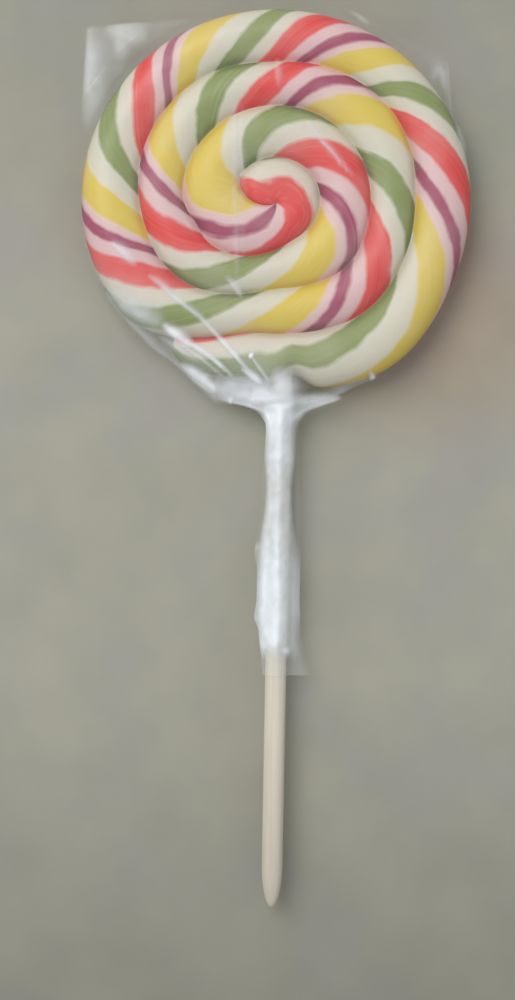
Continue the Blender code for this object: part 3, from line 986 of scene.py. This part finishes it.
def sleeve_haze(sideways, down, reach):
    """How milky the sleeve is: white over the stick, clear in its wings and near its torn end."""
    lower = smooth_step((down - CORE_CHANGE_START) / CORE_CHANGE_LENGTH)
    left = CORE_LEFT + CORE_LEFT_CHANGE * lower
    right = CORE_RIGHT + CORE_RIGHT_CHANGE * lower
    core = smooth_step((sideways + left) / CORE_LEFT_EDGE + 0.5)
    core *= smooth_step((right - sideways) / CORE_RIGHT_EDGE + 0.5)
    wings = smooth_step((reach - abs(sideways)) / WING_EDGE)
    flare = smooth_step((FLARE_END - down) / FLARE_FADE)
    fade = smooth_step((CORE_END - down) / CORE_END_FADE)
    layers = 1 + blotches(sideways, down, **BLOTCH) + blotches(sideways, down, **FINE_BLOTCH)
    haze = WING_WHITE * wings * (WING_TORN_SHARE + (1 - WING_TORN_SHARE) * fade)
    haze += core * (TORN_WHITE + CORE_WHITE * fade * layers)
    haze += flare * wings * (FLARE_LEFT_WHITE if sideways < 0 else FLARE_RIGHT_WHITE)
    for aside, below, radius, strength in SLEEVE_SPOTS:
        haze += strength * math.exp(-(((sideways - aside) ** 2 + (down - below) ** 2) / radius**2))
    return min(1.0, max(LEAST_WHITE, haze)) * smooth_step((down - TOP_CLEAR) / TOP_FADE)


def make_sleeve():
    bm = bmesh.new()
    haze_layer = bm.verts.layers.float.new("haze")
    left_at = curve_through([(down, left) for down, left, right in SLEEVE_STATIONS])
    right_at = curve_through([(down, right) for down, left, right in SLEEVE_STATIONS])
    start, end = SLEEVE_STATIONS[0][0], SLEEVE_STATIONS[-1][0]
    rows = round((end - start) / SLEEVE_STEP)
    grid = bmesh.ops.create_grid(bm, x_segments=rows, y_segments=SLEEVE_SIDES, size=0.5)
    for vertex in grid["verts"]:
        down = start + (end - start) * (vertex.co.x + 0.5)
        side = round((vertex.co.y + 0.5) * SLEEVE_SIDES) % SLEEVE_SIDES
        turn = math.radians(TURN * side / SLEEVE_SIDES)
        reach = right_at(down) if math.cos(turn) > 0 else left_at(down)
        sideways = reach * math.cos(turn)
        bell_width = SLEEVE_BELL + BELL_WIDENING * smooth_step((BELL_START - down) / BELL_LENGTH)
        bell = SLEEVE_HALF_HEIGHT * math.exp(-((sideways / bell_width) ** 2))
        up = math.copysign(bell + SLEEVE_EDGE * abs(math.sin(turn)), math.sin(turn))
        crinkle = blotches(sideways, down, 1.0, CRINKLE_SCALE, math.copysign(1, up))
        vertex[haze_layer] = sleeve_haze(sideways, down, reach)
        sideways *= 1 + CRINKLE_SIDEWAYS * crinkle
        vertex.co = STICK_LINE @ Vector((sideways, -down, up * (1 + CRINKLE_UP * crinkle)))
    bmesh.ops.remove_doubles(bm, verts=bm.verts, dist=WELD)
    bmesh.ops.recalc_face_normals(bm, faces=bm.faces)
    piece = put_in_scene("film_sleeve", bm, film_finish("gathered_film", colour(247, 252, 255), 0.40, 0.5))


make_sleeve()

# The setting: a pale table with painted shade at its ends and a painted red bounce beside the sweet, one
# large soft light from the upper left, and the camera above.
TABLE_COLOUR = colour(169, 167, 152)
TABLE_MOTTLE = ((0.3, 0.93), (0.7, 1.05))  # where on the mottle it takes which share of that colour
TABLE_PATCH = colour(164, 160, 163)
TABLE_PATCH_SHARE = 0.3
TABLE_PAINTED_SHADE = (0.71, 0.72, 0.70)  # painted shade of the light's fall-off: the table's far ends against its middle
NEAR_SHADE = (-0.135, -0.035)  # where along the table its lower end is shaded in full, and where not
FAR_SHADE = (0.02, 0.11)  # where its upper end starts to be, and how much of the shade it has
FAR_SHADE_SHARE = 0.5
PAINTED_RED_BOUNCE = (1.0, 0.86, 0.82)  # painted red bounce light that the sweet throws on the table at its lower right
GLOW_ASIDE = 0.034
GLOW_DOWN = 0.024
GLOW_FADE = (0.008, 0.034)
TABLE_SIZE = 3.0
TABLE_DROP = 0.0003
LIGHT_PLACE = (-0.35, 0.40, 0.75)
LIGHT_SIZE = 0.7
LIGHT_POWER = 4.5
ROOM_COLOUR = (0.95, 0.97, 1.0, 1.0)
ROOM_LIGHT = 0.53
PIXEL = 0.0002067
PICTURE = (515, 1000)
HEAD_PIXEL = (276, 197)
CAMERA_HEIGHT = 0.40


def make_table():
    bm = bmesh.new()
    bmesh.ops.create_grid(bm, x_segments=1, y_segments=1, size=TABLE_SIZE / 2)
    mesh = bpy.data.meshes.new("table")
    bm.to_mesh(mesh)
    bm.free()
    table = bpy.data.objects.new("table", mesh)
    bpy.context.scene.collection.objects.link(table)
    table.location.z = -TABLE_DROP
    finish = Finish("table_top")
    place = finish.add("ShaderNodeTexCoord", output=3)
    mottle = finish.add("ShaderNodeTexNoise", values={"Vector": place, "Scale": 55.0, "Detail": 5.0})
    stops = [(position, [c * share for c in TABLE_COLOUR]) for position, share in TABLE_MOTTLE]
    paint = finish.add("ShaderNodeValToRGB", {"stops": stops}, {0: mottle})
    patches = finish.add("ShaderNodeTexNoise", values={"Vector": place, "Scale": 38.0, "Detail": 3.0})
    paint = paint.tint(TABLE_PATCH, patches.between(0.48, 0.64) * TABLE_PATCH_SHARE)
    apart = finish.add("ShaderNodeSeparateXYZ", values={0: place}).socket.node
    up_table = Wire(finish, apart.outputs[1])
    # Painted shade: the table darkens towards both ends, where the light falls off
    paint = paint.tint(TABLE_PAINTED_SHADE, 1 - up_table.between(*NEAR_SHADE), "MULTIPLY")
    paint = paint.tint(TABLE_PAINTED_SHADE, up_table.between(*FAR_SHADE) * FAR_SHADE_SHARE, "MULTIPLY")
    # Painted light: a red bounce from the sweet is multiplied into the table beside its lower right
    glow_place = HEAD_MIDDLE + Vector((GLOW_ASIDE, -GLOW_DOWN, -HEAD_MIDDLE.z))
    from_glow = {0: place, 1: tuple(glow_place)}
    distance = finish.add("ShaderNodeVectorMath", {"operation": "DISTANCE"}, from_glow, output=1)
    paint = paint.tint(PAINTED_RED_BOUNCE, 1 - distance.between(*GLOW_FADE), "MULTIPLY")
    surface = finish.add("ShaderNodeBsdfPrincipled", values={"Base Color": paint, "Roughness": 0.8})
    mesh.materials.append(finish.show(surface))


def add_light(name, place, size, power):
    light = bpy.data.lights.new(name, "AREA")
    light.shape = "DISK"
    light.size = size
    light.energy = power
    lamp = bpy.data.objects.new(name, light)
    bpy.context.scene.collection.objects.link(lamp)
    lamp.location = place
    lamp.rotation_euler = (-Vector(place)).to_track_quat("-Z", "Y").to_euler()


make_table()
add_light("window_light", LIGHT_PLACE, LIGHT_SIZE, LIGHT_POWER)
world = bpy.data.worlds.new("room")
world.use_nodes = True
background = world.node_tree.nodes["Background"]
background.inputs["Color"].default_value = ROOM_COLOUR
background.inputs["Strength"].default_value = ROOM_LIGHT
bpy.context.scene.world = world
bpy.context.scene.view_settings.view_transform = "Standard"

camera = bpy.data.objects.new("camera", bpy.data.cameras.new("camera"))
bpy.context.scene.collection.objects.link(camera)
aside = (PICTURE[0] / 2 - HEAD_PIXEL[0]) * PIXEL
down = (PICTURE[1] / 2 - HEAD_PIXEL[1]) * PIXEL
camera.location = HEAD_MIDDLE + Vector((aside, -down, CAMERA_HEIGHT))
camera.data.lens = camera.data.sensor_width * CAMERA_HEIGHT / (PICTURE[1] * PIXEL)
bpy.context.scene.camera = camera
